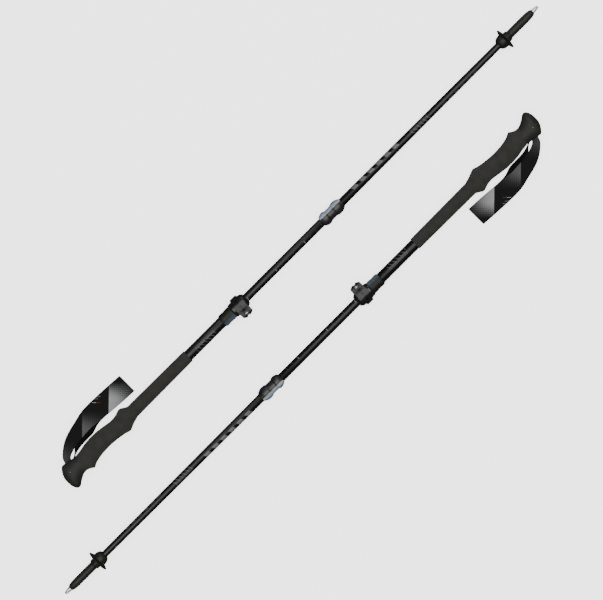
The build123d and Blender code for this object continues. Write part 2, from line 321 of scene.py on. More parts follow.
class Shade:
    """Short names for the nodes of one material or group."""

    def __init__(self, tree):
        self.tree = tree

    def node(self, kind, **inputs):
        made = self.tree.nodes.new("ShaderNode" + kind)
        for name, value in inputs.items():
            self.put(made.inputs[name.replace("_", " ")], value)
        return made

    def put(self, socket, value):
        if isinstance(value, bpy.types.NodeSocket):
            self.tree.links.new(value, socket)
        else:
            socket.default_value = value

    def math(self, operation, first, second=None, third=None, clamp=False):
        made = self.tree.nodes.new("ShaderNodeMath")
        made.operation = operation
        made.use_clamp = clamp
        for socket, value in zip(made.inputs, (first, second, third)):
            if value is not None:
                self.put(socket, value)
        return made.outputs[0]

    def times(self, first, second):
        return self.math("MULTIPLY", first, second)

    def band(self, value, low, high, soft=0.12):
        """One between low and high, with soft edges."""
        rising = self.ramp(value, low - soft, low + soft)
        falling = self.ramp(value, high + soft, high - soft)
        return self.times(rising, falling)

    def ramp(self, value, low, high, to_low=0.0, to_high=1.0):
        made = self.tree.nodes.new("ShaderNodeMapRange")
        for name, number in zip(("From Min", "From Max", "To Min", "To Max"), (low, high, to_low, to_high)):
            made.inputs[name].default_value = number
        self.put(made.inputs["Value"], value)
        return made.outputs["Result"]

    def mix(self, factor, first, second):
        made = self.tree.nodes.new("ShaderNodeMix")
        made.data_type = "RGBA"
        colours = [socket for socket in made.inputs if socket.type == "RGBA"]
        self.put(made.inputs["Factor"], factor)
        self.put(colours[0], first)
        self.put(colours[1], second)
        return next(socket for socket in made.outputs if socket.type == "RGBA")

    def group(self, group, **inputs):
        made = self.tree.nodes.new("ShaderNodeGroup")
        made.node_tree = group
        for name, value in inputs.items():
            self.put(made.inputs[name.replace("_", " ")], value)
        return made.outputs

    def noise(self, vector, scale, detail=3.0, roughness=0.55):
        made = self.node("TexNoise", Vector=vector, Scale=scale, Detail=detail, Roughness=roughness)
        return made.outputs["Fac"]


def new_group(name, inputs, outputs):
    """An empty node group with named sockets: (name, kind, value) in, (name, kind) out."""
    group = bpy.data.node_groups.new(name, "ShaderNodeTree")
    for title, kind, value in inputs:
        socket = group.interface.new_socket(name=title, in_out="INPUT", socket_type=kind)
        if value is not None:
            socket.default_value = value
    for title, kind in outputs:
        group.interface.new_socket(name=title, in_out="OUTPUT", socket_type=kind)
    return group, Shade(group), group.nodes.new("NodeGroupInput"), group.nodes.new("NodeGroupOutput")


def grain_group():
    """Moulded or foamed grain: a fine height and a slow mottle."""
    group, s, given, out = new_group(
        "surface_grain",
        [
            ("Place", "NodeSocketVector", None), ("Fine", "NodeSocketFloat", 1.6),
            ("Slow", "NodeSocketFloat", 0.06),
        ],
        [("Height", "NodeSocketFloat"), ("Mottle", "NodeSocketFloat")],
    )
    place, scale = given.outputs["Place"], given.outputs["Fine"]
    fine = s.noise(place, scale, 4.0, 0.6)
    cells = s.node("TexVoronoi", Vector=place, Scale=scale).outputs["Distance"]
    height = s.math("ADD", s.times(fine, 0.6), s.times(cells, 0.5))
    s.put(out.inputs["Height"], height)
    slow = s.noise(place, given.outputs["Slow"], 3.0, 0.6)
    s.put(out.inputs["Mottle"], s.ramp(slow, 0.3, 0.7))
    return group


def wear_group():
    """Small scuffs and dust that lie thicker here and there."""
    group, s, given, out = new_group(
        "light_wear",
        [("Place", "NodeSocketVector", None), ("Amount", "NodeSocketFloat", 0.5)],
        [("Scuffs", "NodeSocketFloat"), ("Dust", "NodeSocketFloat")],
    )
    place = given.outputs["Place"]
    stretched = s.node("Mapping", Vector=place, Scale=(0.35, 2.2, 2.2)).outputs[0]
    scratches = s.ramp(s.noise(stretched, 0.9, 6.0, 0.7), 0.62, 0.74)
    s.put(out.inputs["Scuffs"], s.times(scratches, given.outputs["Amount"]))
    dust = s.ramp(s.noise(place, 0.35, 8.0, 0.75), 0.5, 0.8)
    s.put(out.inputs["Dust"], s.times(dust, given.outputs["Amount"]))
    return group


GRAIN = grain_group()
WEAR = wear_group()


def opaque(colour, share=1.0):
    """A colour of three numbers as four, darkened to a share of itself."""
    return tuple(part * share for part in colour) + (1,)


def new_material(name):
    """A material with its principled shader and the pole's own millimetres."""
    material = bpy.data.materials.new(name)
    material.use_nodes = True
    tree = material.node_tree
    own = tree.nodes.new("ShaderNodeAttribute")
    own.attribute_name = "own"
    return material, Shade(tree), tree.nodes["Principled BSDF"], own.outputs["Vector"]


def grainy(name, dark, light, roughness, bump, fine, slow, sheen=0.0, amount=0.3, gloss=0.35):
    """Foam, rubber or moulded plastic with grain, mottle and a little dust."""
    material, s, shader, place = new_material(name)
    grain = s.group(GRAIN, Place=place, Fine=fine, Slow=slow)
    wear = s.group(WEAR, Place=place, Amount=amount)
    colour = s.mix(grain["Mottle"], opaque(dark), opaque(light))
    dusty = opaque([part * 2.2 + 0.02 for part in light])
    s.put(shader.inputs["Base Color"], s.mix(s.times(wear["Dust"], 0.35), colour, dusty))
    s.put(shader.inputs["Roughness"], s.ramp(grain["Mottle"], 0, 1, roughness - 0.05, roughness + 0.05))
    shader.inputs["Sheen Weight"].default_value = sheen
    shader.inputs["Sheen Roughness"].default_value = 0.6
    shader.inputs["Specular IOR Level"].default_value = gloss
    lump = s.node("Bump", Strength=bump, Distance=0.0004, Height=grain["Height"])
    s.put(shader.inputs["Normal"], lump.outputs[0])
    return material


def around(s, place, radius):
    """Station along a tube, and the distance round it from the middle of its upper side, in mm."""
    parts = s.node("SeparateXYZ", Vector=place).outputs
    angle = s.math("ARCTAN2", parts["Y"], parts["Z"])
    return parts["X"], s.times(angle, radius)


FIRST_TICK, TICK_STEP, TICKS_PER_LONG = 404.0, 12.55, 5
# Printed bars: drops where a block starts and ends, its two sides round the tube, the pitch of its
# bars, their share of it, how much they slant, and how light they are
TUBE_BARS = {
    "upper": [
        (290.0, 331.0, 1.6, 12.0, 6.8, 0.1, 0.5, 0.55), (290.0, 331.0, 0.9, 1.6, 41.0, 0.9, 0.0, 0.4),
        (290.5, 331.0, -2.0, -0.4, 2.4, 0.5, 0.0, 0.22),
    ],
    "lower": [
        (640.0, 748.0, -12.0, -0.2, 18.0, 0.56, 0.45, 0.5),
        (768.0, 808.5, -1.8, 7.4, 6.8, 0.1, 0.5, 0.5), (768.0, 808.5, -2.6, -1.9, 40.5, 0.9, 0.0, 0.4),
        (768.5, 808.0, -5.8, -4.0, 2.4, 0.5, 0.0, 0.22),
        (828.0, 911.0, 4.6, 9.0, 14.0, 0.58, 0.45, 0.3),
    ],
}


def graduations(s, x, arc):
    """Short faint ticks along the middle tube, and a wide light one at every fifth."""
    long_step = TICK_STEP * TICKS_PER_LONG
    marks = []
    for step, half, low, high, light in (
        (TICK_STEP, 0.35, 1.6, 4.6, 0.16), (long_step, 0.65, 1.2, 5.2, 0.7),
    ):
        back = s.math("SUBTRACT", down(FIRST_TICK) + step / 2 + 10 * long_step, x)
        near = s.math("ABSOLUTE", s.math("SUBTRACT", s.math("MODULO", back, step), step / 2))
        tick = s.times(s.ramp(near, half + 0.1, half - 0.1), s.band(arc, low, high))
        marks.append(s.times(tick, light))
    return s.math("MAXIMUM", *marks, clamp=True)


def printed_bars(s, x, arc, kind):
    """Plain slanted bars, long lines and fine dashes on the upper and lower tubes."""
    total = 0.0
    for top, end, low, high, pitch, share, lean, light in TUBE_BARS[kind]:
        slanted = s.math("ADD", s.times(arc, lean), s.math("ADD", x, 100 * pitch))
        phase = s.math("DIVIDE", s.math("MODULO", slanted, pitch), pitch)
        bars = s.band(phase, 0.05, 0.05 + share, 0.018)
        zone = s.times(s.band(x, down(end), down(top)), s.band(arc, low, high))
        total = s.math("MAXIMUM", total, s.times(s.times(bars, zone), light))
    return total


def painted_tube(kind, radius):
    """Gloss black paint over aluminium with plain light print and fine scuffs."""
    material, s, shader, place = new_material(kind + "_tube_paint")
    x, arc = around(s, place, radius)
    wear = s.group(WEAR, Place=place, Amount=0.5)
    printed = graduations(s, x, arc) if kind == "mid" else printed_bars(s, x, arc, kind)
    paint = s.mix(wear["Dust"], (0.0012, 0.0012, 0.0014, 1), (0.0035, 0.0035, 0.004, 1))
    s.put(shader.inputs["Base Color"], s.mix(printed, paint, (0.34, 0.34, 0.35, 1)))
    s.put(shader.inputs["Roughness"], s.ramp(wear["Scuffs"], 0, 1, 0.34, 0.5))
    shader.inputs["Specular IOR Level"].default_value = 0.5
    grain = s.group(GRAIN, Place=place, Fine=0.9, Slow=0.05)
    lump = s.node("Bump", Strength=0.03, Distance=0.0002, Height=grain["Height"])
    s.put(shader.inputs["Normal"], lump.outputs[0])
    return material


PANEL_LONG, DOT_PITCH, DASH_WIDE = 58.0, 4.4, 1.5
# Printed dashes on the strap: place across the slant, start and end along it, and colour
STRAP_DASHES = (
    (170.3, 69.5, 79.0, (0.16, 0.028, 0.02)), (170.3, 60.5, 69.5, (0.34, 0.31, 0.3)),
    (178.6, 64.0, 74.0, (0.17, 0.17, 0.17)), (183.8, 69.5, 79.0, (0.2, 0.2, 0.2)),
)


def strap_print(s, parts, woven):
    """Slanted panels that fade out through fine dots, lighter down the strap, and a few dashes."""
    drop = s.math("SUBTRACT", LENGTH, parts["X"])
    slant = s.math("ADD", drop, parts["Y"])
    lean = s.math("SUBTRACT", drop, parts["Y"])
    panel = s.math("DIVIDE", s.math("ADD", slant, 19.0), PANEL_LONG)
    number = s.math("FLOOR", panel)
    phase = s.math("SUBTRACT", panel, number)
    last = s.math("MULTIPLY_ADD", number, 64.5, 86.0)
    downward = s.math("DIVIDE", s.math("SUBTRACT", last, lean), 36.0, clamp=True)
    away = s.math("POWER", s.math("SUBTRACT", 1.0, phase), 0.9)
    light = s.times(s.times(downward, away), s.ramp(phase, 0.0, 0.012))
    reach = [
        s.math("ABSOLUTE", s.math("SUBTRACT", s.math("FRACT", s.math("DIVIDE", line, DOT_PITCH)), 0.5))
        for line in (slant, lean)
    ]
    edge = s.times(s.math("MAXIMUM", *reach), 2.0)
    size = s.math("POWER", light, 0.55)
    dots = s.ramp(s.math("SUBTRACT", s.math("MULTIPLY_ADD", size, 1.25, 0.04), edge), -0.14, 0.14)
    tone = s.times(s.ramp(dots, 0.0, 1.0, 0.3, 1.0), s.math("POWER", light, 0.8))
    strength = s.math("MULTIPLY_ADD", s.math("POWER", number, 3.0), 0.042, 0.07)
    grey = s.node("CombineColor", Red=strength, Green=strength, Blue=s.times(strength, 1.02))
    coloured = s.mix(tone, woven, grey.outputs[0])
    for at, start, end, tint in STRAP_DASHES:
        across = s.band(lean, at - DASH_WIDE / 2, at + DASH_WIDE / 2)
        dash = s.times(across, s.band(slant, start, end))
        coloured = s.mix(s.times(dash, 0.85), coloured, opaque(tint))
    return coloured


def webbing(name, printed):
    """Woven polyester band, with the print on its outer face or plain."""
    material, s, shader, place = new_material(name)
    parts = s.node("SeparateXYZ", Vector=place).outputs
    yarn = s.noise(place, 0.5, 4.0, 0.6)
    woven = s.mix(s.ramp(yarn, 0.35, 0.7), (0.0034, 0.0036, 0.0033, 1), (0.0075, 0.0078, 0.0072, 1))
    s.put(shader.inputs["Base Color"], strap_print(s, parts, woven) if printed else woven)
    s.put(shader.inputs["Roughness"], s.ramp(yarn, 0.3, 0.7, 0.7, 0.9))
    shader.inputs["Sheen Weight"].default_value = 0.03
    shader.inputs["Specular IOR Level"].default_value = 0.2
    warp = s.math("SINE", s.times(parts["X"], 2 * pi / 0.9))
    weft = s.math("SINE", s.times(parts["Y"], 2 * pi / 1.3))
    lump = s.node("Bump", Strength=0.35, Distance=0.0002, Height=s.times(warp, weft))
    s.put(shader.inputs["Normal"], lump.outputs[0])
    return material


def smoky(name, reflection_blue, painted_streak_tint, roughness):
    """Dark smoky plastic with a painted pale blue reflection and a painted highlight on its −Y side,
    stopping short of the −Y edge so that edge stays dark, and a painted warm highlight down the middle.
    """
    material, s, shader, place = new_material(name)
    parts = s.node("SeparateXYZ", Vector=place).outputs
    wander = s.times(s.math("SUBTRACT", s.noise(place, 0.14, 2.0), 0.5), 2.4)
    spot = s.math("ADD", parts["Y"], wander)
    patch = s.node("Mapping", Vector=place, Scale=(0.5, 1.6, 1.0)).outputs[0]
    patches = s.ramp(s.noise(patch, 0.16, 4.0, 0.65), 0.38, 0.62)
    dark = s.mix(patches, (0.006, 0.006, 0.008, 1), (0.02, 0.018, 0.026, 1))
    # Painted warm highlight: an olive streak about Y = 0, patchy with the mottle
    streak = s.times(s.band(spot, -1.9, 1.1, 0.7), s.ramp(patches, 0, 1, 0.35, 1.0))
    body = s.mix(streak, dark, opaque(painted_streak_tint))
    # Painted reflection on the −Y side, from about Y −3.3 to −10.4, with a painted highlight along Y −5.9
    # and darker blue patches
    painted_reflection_mask = s.times(s.ramp(spot, -2.9, -3.7), s.ramp(parts["Y"], -10.9, -9.9))
    sheen = s.ramp(s.math("ABSOLUTE", s.math("ADD", spot, 5.9)), 3.4, 0.3)
    shade = s.mix(sheen, opaque(reflection_blue, 0.5), opaque(reflection_blue))
    shade = s.mix(s.ramp(patches, 0.0, 1.0, 0.3, 0.0), shade, (0.05, 0.065, 0.085, 1))
    s.put(shader.inputs["Base Color"], s.mix(painted_reflection_mask, body, shade))
    wear = s.group(WEAR, Place=place, Amount=0.5)
    s.put(shader.inputs["Roughness"], s.ramp(wear["Scuffs"], 0, 1, roughness, roughness + 0.2))
    shader.inputs["Coat Weight"].default_value = 0.2
    shader.inputs["Coat Roughness"].default_value = 0.25
    return material


def sleeve_plastic():
    """Dark olive gloss with a painted blue-grey reflection on the lever side, and two small dots."""
    material, s, shader, place = new_material("sleeve_plastic")
    parts = s.node("SeparateXYZ", Vector=place).outputs
    wander = s.times(s.math("SUBTRACT", s.noise(place, 0.15, 3.0), 0.5), 3.0)
    spot = s.math("ADD", parts["Y"], wander)
    mottle = s.ramp(s.noise(place, 0.25, 5.0, 0.7), 0.35, 0.65)
    body = s.mix(mottle, (0.0035, 0.0035, 0.0025, 1), (0.013, 0.014, 0.0075, 1))
    # Painted blue-grey reflection, growing towards the +Y side where the lever is
    body = s.mix(s.ramp(spot, 2.2, 8.0), body, (0.095, 0.12, 0.15, 1))
    for drop, y, radius, tint in (
        (360.5, 5.0, 0.6, (0.2, 0.22, 0.23)), (356.0, 0.8, 0.5, (0.06, 0.016, 0.012)),
    ):
        near = s.node("VectorMath", Vector=place)
        near.operation = "DISTANCE"
        near.inputs[1].default_value = (down(drop), y, sqrt(SLEEVE_R**2 - y * y))
        body = s.mix(s.ramp(near.outputs["Value"], radius + 0.25, radius - 0.1), body, opaque(tint))
    s.put(shader.inputs["Base Color"], body)
    wear = s.group(WEAR, Place=place, Amount=0.5)
    s.put(shader.inputs["Roughness"], s.ramp(wear["Scuffs"], 0, 1, 0.5, 0.62))
    shader.inputs["Specular IOR Level"].default_value = 0.35
    return material


def metal(name, colour, roughness, streaks):
    """Turned metal with fine lines round it."""
    material, s, shader, place = new_material(name)
    wear = s.group(WEAR, Place=place, Amount=0.6)
    s.put(shader.inputs["Base Color"], s.mix(wear["Dust"], opaque(colour), opaque(colour, 0.72)))
    s.put(shader.inputs["Roughness"], s.ramp(wear["Scuffs"], 0, 1, roughness, roughness + 0.25))
    shader.inputs["Metallic"].default_value = 0.85
    turned = s.node("Mapping", Vector=place, Scale=(streaks, 0.2, 0.2)).outputs[0]
    lump = s.node("Bump", Strength=0.08, Distance=0.0002, Height=s.noise(turned, 1.0, 3.0))
    s.put(shader.inputs["Normal"], lump.outputs[0])
    return material


FOAM = grainy("grip_foam", (0.026, 0.0255, 0.022), (0.040, 0.039, 0.0345), 0.95, 0.7, 1.2, 0.09, 0.08)
HEAD = grainy("head_rubber", (0.0165, 0.0165, 0.0135), (0.0235, 0.023, 0.0195), 0.6, 0.25, 2.0, 0.05, 0.02)
INNER = grainy("moulded_plastic", (0.02, 0.02, 0.02), (0.03, 0.03, 0.03), 0.5, 0.1, 1.5, 0.05)
LOCK = grainy(
    "lock_plastic", (0.004, 0.0043, 0.0036), (0.009, 0.009, 0.0076), 0.27, 0.04, 2.2, 0.12,
    amount=0.15, gloss=0.65,
)
LEVER = grainy(
    "lever_plastic", (0.005, 0.005, 0.0046), (0.012, 0.0115, 0.0105), 0.27, 0.05, 2.2, 0.12,
    amount=0.15, gloss=0.5,
)
TIP = grainy(
    "tip_plastic", (0.009, 0.0097, 0.0062), (0.0165, 0.0175, 0.0115), 0.45, 0.12, 2.0, 0.12, amount=0.2
)
WEBBING = webbing("strap_print", True)
PLAIN_WEBBING = webbing("strap_plain", False)
# Colours of the joint's painted pale blue reflection and its painted warm highlight
SMOKY = smoky("joint_plastic", (0.5, 0.57, 0.68), (0.085, 0.078, 0.03), 0.42)
SLEEVE = sleeve_plastic()
STEEL = metal("bright_steel", (0.95, 0.95, 0.93), 0.3, 6.0)
PIN = metal("dull_pin", (0.16, 0.16, 0.155), 0.5, 3.0)
CARBIDE = metal("carbide", (0.12, 0.12, 0.122), 0.45, 4.0)
CORD = grainy("tension_cord", (0.02, 0.02, 0.02), (0.03, 0.03, 0.03), 0.5, 0.2, 3.0, 0.2)
UPPER_PAINT = painted_tube("upper", UPPER_R)
MID_PAINT = painted_tube("mid", MID_R)
LOWER_PAINT = painted_tube("lower", MID_R)


# ---------------- grip

# The hand grip at each drop: y of its finger side, y of its strap side, and half its height
FRONT = [
    (0, 8), (0.6, 15.5), (2, 19.8), (4.5, 23.7), (7.5, 25.3), (10.5, 24.8), (14, 22.4), (18, 19.8),
    (23, 17.0), (28, 14.9), (32, 14.3), (37, 15.2), (42, 17.6), (46.4, 20.3), (48.4, 19.8), (53, 17.4),
    (60, 15.4), (72, 13.6), (86, 13.0), (98, 13.7), (109, 15.0), (118, 16.7), (127.2, 19.1), (130, 18.4),
    (135, 16.2), (141, 14.0), (146.5, 12.5), (151, 11.5),
]
BACK = [
    (0, 1), (0.7, -2.5), (2, -5.8), (4, -9.8), (7, -14.0), (10, -17.0), (12.6, -18.1), (15.5, -18.0),
    (20, -17.0), (27, -15.7), (34, -14.7), (41, -14.3), (50, -15.3), (62, -17.4), (75, -18.2), (86, -18.0),
    (98, -16.5), (108, -15.0), (116, -14.0), (122, -14.2), (128, -15.3), (133, -17.0), (136.8, -18.0),
    (140, -17.2), (144, -14.6), (148, -12.3), (151, -11.2),
]
SIDE = [
    (0, 4.5), (0.7, 8.2), (2, 10.8), (4, 13.4), (7, 15.6), (11, 17.2), (16, 17.8), (23, 17.0), (31, 15.4),
    (41, 14.3), (50, 14.5), (64, 15.1), (80, 15.3), (98, 14.7), (116, 13.5), (127, 14.0), (136, 14.4),
    (143, 13.1), (149, 11.5), (151, 11.2),
]
SEAM_AT, SEAM_Y = 35.0, 1.5  # where the head meets the foam, on a slant
SEAM_GAP, SEAM_RIM, SEAM_SINK = 0.12, 0.55, 0.54  # its half gap, and the lip's width and height
SEAM_NORMAL = Vector((25, -8, 0)).normalized()
FOAM_DROP = LENGTH - FOAM_END
PIN_DROP, PIN_Y = 15.6, -1.5
TUBE_ROOM = UPPER_R + 0.06  # radius of every bore round the upper tube
GRIP_POWER = 2 / 2.25  # squareness of the grip's oval
# Slots for the strap: first and last angle about the pin, and half the height
STRAP_SLOTS = ((207, 279, 4.4), (212, 318, 2.5))


def grip_form():
    """The whole hand grip, head and foam together, as closed rings."""
    drops = [0.0, 0.25, 0.6, 1.1, 1.8, 2.7] + [3.5 + i for i in range(int(FOAM_DROP - 3.5))] + [FOAM_DROP]
    count = ROUND_FINE
    verts = []
    for drop in drops:
        front, back, side = (smooth_curve(curve, drop) for curve in (FRONT, BACK, SIDE))
        middle, half = (front + back) / 2, (front - back) / 2
        for turn in range(count):
            angle = 2 * pi * turn / count
            c, w = cos(angle), sin(angle)
            y = middle + half * abs(c) ** GRIP_POWER * (1 if c > 0 else -1)
            z = side * abs(w) ** GRIP_POWER * (1 if w > 0 else -1)
            verts.append((down(drop), y, z))
    rings = len(drops)
    faces = [tuple(range(count)), tuple(range((rings - 1) * count, rings * count))]
    for ring in range(rings - 1):
        for turn in range(count):
            ahead = (turn + 1) % count
            low, high = ring * count, (ring + 1) * count
            faces.append((low + turn, low + ahead, high + ahead, high + turn))
    return mesh_of(verts, faces)


def grip_half(whole, keep_head):
    """One side of the slanted seam, with a small rounded shoulder along it."""
    toward = 1 if keep_head else -1
    shape = bmesh.new()
    shape.from_mesh(whole)
    spot = Vector((down(SEAM_AT), SEAM_Y, 0)) + SEAM_NORMAL * (SEAM_GAP * toward)
    cut = bmesh.ops.bisect_plane(
        shape, geom=shape.verts[:] + shape.edges[:] + shape.faces[:], plane_co=spot,
        plane_no=SEAM_NORMAL, clear_inner=keep_head, clear_outer=not keep_head,
    )
    rim = [item for item in cut["geom_cut"] if isinstance(item, bmesh.types.BMEdge)]
    caps = bmesh.ops.contextual_create(shape, geom=rim)["faces"]
    bmesh.ops.inset_region(shape, faces=caps, thickness=SEAM_RIM, depth=0)
    for face in caps:
        for vert in face.verts:
            vert.co -= SEAM_NORMAL * (SEAM_SINK * toward)
    result = bpy.data.meshes.new("grip_half")
    shape.to_mesh(result)
    shape.free()
    return result


def add_grip(side):
    """Head, foam sleeve, foam extension, and the pin that holds the strap."""
    whole = grip_form()
    x, y = down(PIN_DROP), PIN_Y
    bore_top, bore_low = down(28), FOAM_END - 5
    bore = round_bar(((bore_top + bore_low) / 2, 0, 0), "X", TUBE_ROOM, bore_top - bore_low, ROUND)
    hollows = []
    for first, last, tall in STRAP_SLOTS:
        fan = arc_points(x, y, 42, [first + (last - first) * i / 8 for i in range(9)])
        hollows.append(prism([(x, y)] + fan, -tall, tall))
    eye_room, pin_room = round_bar((x, y, 0), "Z", 5.0, 15.6), round_bar((x, y, 0), "Z", 1.8, 60)
    hollows += [eye_room, pin_room, bore]
    head = cut_all(grip_half(whole, True), hollows)
    finish_piece(side, "grip_head_rubber", head, "upper", HEAD, ["grip_head"], 32)
    foam = cut_all(grip_half(whole, False), [bore])
    finish_piece(side, "grip_foam_sleeve", foam, "upper", FOAM, ["grip_foam"], 32)
    end = EXTENSION_END
    taper = [(FOAM_END - (FOAM_END - end) * i / 30, 11.3 - 0.75 * i / 30) for i in range(29)]
    lip = rounded([(end + 40, 10.75), (end, 10.4), (end, TUBE_ROOM)], 2.2, 6)[1:]
    extension = lathe([(FOAM_END, TUBE_ROOM)] + taper + lip, closed=True)
    add_piece(
        side, "grip_extension_foam", *extension, "upper", FOAM, ["grip_extension"], "grip_foam", 50
    )
    pin = [(-17.6, 0.01), (-17.4, 1.2), (-16.7, 1.75), (16.7, 1.75), (17.4, 1.2), (17.6, 0.01)]
    turned = upright(lathe(rounded(pin, 0.5, 3), 32), x, y)
    add_piece(side, "strap_pin_steel", *turned, "upper", PIN, ["strap_pin"], "bright_steel")


# ---------------- wrist strap

BAND_THICK = 1.5
SELVEDGE = 0.8  # width of the band's rounded edge
STRAP_ROWS = 90
# The wide band: drop and y of its outer and inner edge, and the height that both share
BAND_OUTER = [
    (15.0, -4.5), (16.2, -11.5), (17.8, -18.5), (22.0, -26.8), (33.0, -36.4), (45, -43.6), (60, -48.8),
    (75, -52.4), (90, -56.0), (104, -57.4), (125, -57.2), (150, -56.2), (172.8, -55.0),
]
BAND_INNER = [
    (20.5, -3.0), (25.0, -8.6), (28.6, -14.6), (33.0, -18.9), (42.0, -22.4), (52, -24.9), (62, -26.3),
    (75, -27.4), (88, -27.8), (99, -26.4), (120, -25.0), (147, -22.4), (172.8, -21.1),
]
BAND_HEIGHT = [0.2, 0.2, 0.9, 3.4, 5.4, 6.2, 6.4, 6.2, 5.4, 4.0, 0.6, -5.5, -14.6]
# The plain band behind it, in the same way
REAR_OUTER = [
    (62, -33.5), (75, -50.6), (90, -55.2), (104, -57.0), (125, -57.0), (150, -56.2), (172.8, -55.0),
]
REAR_INNER = [
    (58, -19.3), (68, -19.5), (81, -20.0), (96, -24.6), (112, -25.2), (147, -22.4), (172.8, -21.1),
]
REAR_HEIGHT = [-8.6, -10.6, -13.6, -16.2, -17.2, -17.4, -16.4]
# The leg back to the pin: drop, y and height of each edge
LEG_INNER = [
    (22, -9.4, -1.4), (28, -12.4, -2.0), (36, -15.0, -4.2), (42, -16.9, -6.0), (49, -18.4, -6.8),
    (56.4, -19.3, -7.6), (66, -19.6, -9.0), (76, -20.4, -11.0),
]
LEG_OUTER = [
    (23, -8.6, 1.4), (29, -12.0, 1.9), (35.7, -14.5, 3.2), (41, -18.7, 4.0), (46, -23.4, 3.8),
    (56, -26.4, 2.6), (66, -29.0, 0.4), (76, -34.0, -3.4),
]


def through(points, count):
    """A smooth run of places through a few (drop, y, height) points."""
    path = [Vector((down(drop), y, z)) for drop, y, z in points]
    padded = [2 * path[0] - path[1]] + path + [2 * path[-1] - path[-2]]
    spans = len(path) - 1
    result = []
    for i in range(count + 1):
        place = min(i / count * spans, spans - 1e-9)
        k, t = int(place), place - int(place)
        a, b, c, d = padded[k:k + 4]
        square, cube = 2 * a - 5 * b + 4 * c - d, 3 * b - a - 3 * c + d
        result.append(0.5 * (2 * b + (c - a) * t + square * t * t + cube * t**3))
    return result


def ribbon_mesh(left, right, thick, across, crown=0.0):
    """A band between two edge lines, with thickness and softly rounded selvedges."""
    rows = len(left)
    tops, lows = [], []
    facing = Vector((0, 0.3, 1))
    for i in range(rows):
        before, after = max(0, i - 1), min(rows - 1, i + 1)
        along = ((left[after] + right[after]) - (left[before] + right[before])).normalized()
        width = right[i] - left[i]
        normal = width.cross(along).normalized()
        if normal.dot(facing) < 0:
            normal = -normal
        facing = normal
        for j in range(across + 1):
            t = j / across
            rim = min(t, 1 - t) * width.length
            round_off = 1.0 if rim > SELVEDGE else sqrt(max(0.15, 1 - (1 - rim / SELVEDGE) ** 2))
            half = thick / 2 * round_off
            swell = crown * (1 - (2 * t - 1) ** 2)
            spot = left[i] + width * t + normal * swell
            tops.append(spot + normal * half)
            lows.append(spot - normal * half)
    verts = tops + lows
    row = across + 1
    base = len(tops)
    faces = []
    for i in range(rows - 1):
        for j in range(across):
            a, b = i * row + j, i * row + j + 1
            c, d = a + row, b + row
            faces.append((a, b, d, c))
            faces.append((base + a, base + c, base + d, base + b))
        for j in (0, across):
            a, c = i * row + j, (i + 1) * row + j
            faces.append((a, c, base + c, base + a))
    for i in (0, rows - 1):
        for j in range(across):
            a, b = i * row + j, i * row + j + 1
            faces.append((a, b, base + b, base + a))
    return verts, faces


def edge_line(edge, heights):
    return through([(drop, y, z) for (drop, y), z in zip(edge, heights)], STRAP_ROWS)


def add_strap(side):
    """Printed band outside, plain band inside, one crease at the bottom and a leg back to the pin."""
    outer = edge_line(BAND_OUTER, [z + 0.3 for z in BAND_HEIGHT])
    band = ribbon_mesh(outer, edge_line(BAND_INNER, BAND_HEIGHT), BAND_THICK, 16, 0.5)
    add_piece(side, "wrist_strap_band", *band, "strap", WEBBING, ["wrist_strap"], "strap_webbing", 60)
    rear_edges = edge_line(REAR_OUTER, REAR_HEIGHT), edge_line(REAR_INNER, REAR_HEIGHT)
    rear = ribbon_mesh(*rear_edges, BAND_THICK, 16)
    fold = [(172.0, -15.3), (173.2, -15.0), (173.6, -15.5), (173.2, -16.0), (172.0, -15.9)]
    crease_edges = [[Vector((down(drop), y, z)) for drop, z in fold] for y in (-55.0, -21.1)]
    crease = ribbon_mesh(*crease_edges, 1.2, 16)
    leg = ribbon_mesh(through(LEG_INNER, 60), through(LEG_OUTER, 60), BAND_THICK, 12)
    eye = [(-7.2, 2.4), (-7.2, 4.4), (7.2, 4.4), (7.2, 2.4)]
    eye = upright(lathe(rounded(eye, 0.6, 2), 40, closed=True), down(PIN_DROP), PIN_Y)
    verts, faces = [], []
    for part_verts, part_faces in (rear, crease, leg, eye):
        start = len(verts)
        verts += part_verts
        faces += [tuple(start + i for i in face) for face in part_faces]
    add_piece(
        side, "wrist_strap_lining", verts, faces, "strap", PLAIN_WEBBING, ["wrist_strap"],
        "strap_webbing", 60,
    )


# ---------------- tubes

TUBE_WALL, TUBE_CORNER = 0.9, 0.15
LOWER_FOOT_R = 5.45  # the lower tube narrows to this inside the tip holder


def add_tubes(side):
    """Three painted tubes; the lower one tapers."""
    wall, soft = TUBE_WALL, TUBE_CORNER
    for name, body, foot, radius, paint in (
        ("upper_tube", "upper", UPPER_R, UPPER_R, UPPER_PAINT),
        ("mid_tube", "mid", MID_R, MID_R, MID_PAINT),
        ("lower_tube", "lower", LOWER_FOOT_R, MID_R, LOWER_PAINT),
    ):
        low, high = station(name, "low"), station(name, "high")
        if foot == radius:
            profile = [(low, radius - wall), (low, radius - soft), (low + soft, radius)]
        else:
            profile = [(low, foot - wall), (low, foot)]
        profile += [(high - soft, radius), (high, radius - soft), (high, radius - wall)]
        tube = lathe(profile, closed=True)
        add_piece(side, name + "_paint", *tube, body, paint, [name], "painted_tube", 50)


# ---------------- lever lock

CLAMP_MID = (LEVER_LOW + LEVER_HIGH) / 2
PIVOT_Y, PIVOT_Z = 17.0, 6.6  # the lever's barrel
SCREW_ROOM = 1.8  # radius of the clamp screw's holes
SLIT = (-5.5, -4.3)  # heights of the clamp's slit, between its two ears
LEVER_HALF, GROOVE_HALF, SLOT_HALF = 9.7, 1.9, 2.3
BARREL_ROOM, LEVER_HOLE = 2.56, 1.7
SHOULDER = station("lever_barrel", "high") + 3.0  # where the housing meets the sleeve


